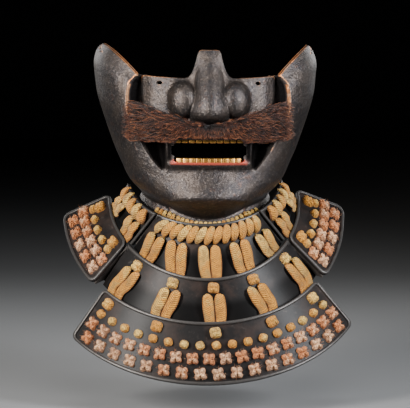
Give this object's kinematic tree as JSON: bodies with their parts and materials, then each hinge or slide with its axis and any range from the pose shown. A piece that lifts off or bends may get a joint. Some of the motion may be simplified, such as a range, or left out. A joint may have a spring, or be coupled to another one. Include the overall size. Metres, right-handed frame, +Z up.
{
  "type": "samurai half mask with laced throat guard",
  "caption": "Iron face guard with bristle moustache, gilt teeth and a hanging throat guard of lacquered lames laced with silk.",
  "frame": {"origin": "inside of the chin, where the wearer's chin rests", "axes": "+Z up along the face, -Y the way the face looks, +X to the right seen from the front"},
  "size_m": [0.2311, 0.1229, 0.2583],
  "materials": {
    "iron": "russet brown iron, fine pitted grain, worn edges",
    "lacquer": "old black-brown lacquer with a soft grey sheen",
    "leather": "dark, matt",
    "gilt": "worn gilding",
    "bristle": "stiff red-brown bristles",
    "gold_silk": "flat braided silk",
    "peach_silk": "faded silk knots"
  },
  "bodies": {
    "root": {"mask": "iron", "moustache": "bristle", "upper_teeth": "gilt", "lower_teeth": "gilt", "flange_lacing": "gold_silk", "tier1_front": "lacquer", "tier1_right": "lacquer", "tier1_left": "lacquer", "tier2_front": "lacquer", "wing_right": "lacquer", "wing_left": "lacquer", "tier3_front": "lacquer", "tier1_hinge_right": "leather", "tier1_hinge_left": "leather", "tier2_hinge_right": "leather", "tier2_hinge_left": "leather", "stitches_front": "gold_silk", "stitches_right": "gold_silk", "stitches_left": "gold_silk", "lace_1_1": "gold_silk", "lace_1_2": "gold_silk", "lace_1_3": "gold_silk", "lace_1_4": "gold_silk", "lace_1_5": "gold_silk", "lace_1_6": "gold_silk", "lace_1_6_left": "gold_silk", "lace_1_7": "gold_silk", "lace_1_7_left": "gold_silk", "lace_2_1": "gold_silk", "lace_2_2": "gold_silk", "lace_2_3": "gold_silk", "lace_2_4": "gold_silk", "lace_2_5": "gold_silk", "knots_tier3": "gold_silk", "knots_wing_right": "gold_silk", "knots_wing_left": "gold_silk", "crosses_tier3_upper": "peach_silk", "crosses_tier3_lower": "peach_silk", "crosses_wing_right_upper": "peach_silk", "crosses_wing_left_upper": "peach_silk", "crosses_wing_right_lower": "peach_silk", "crosses_wing_left_lower": "peach_silk"}
  },
  "joints": []
}
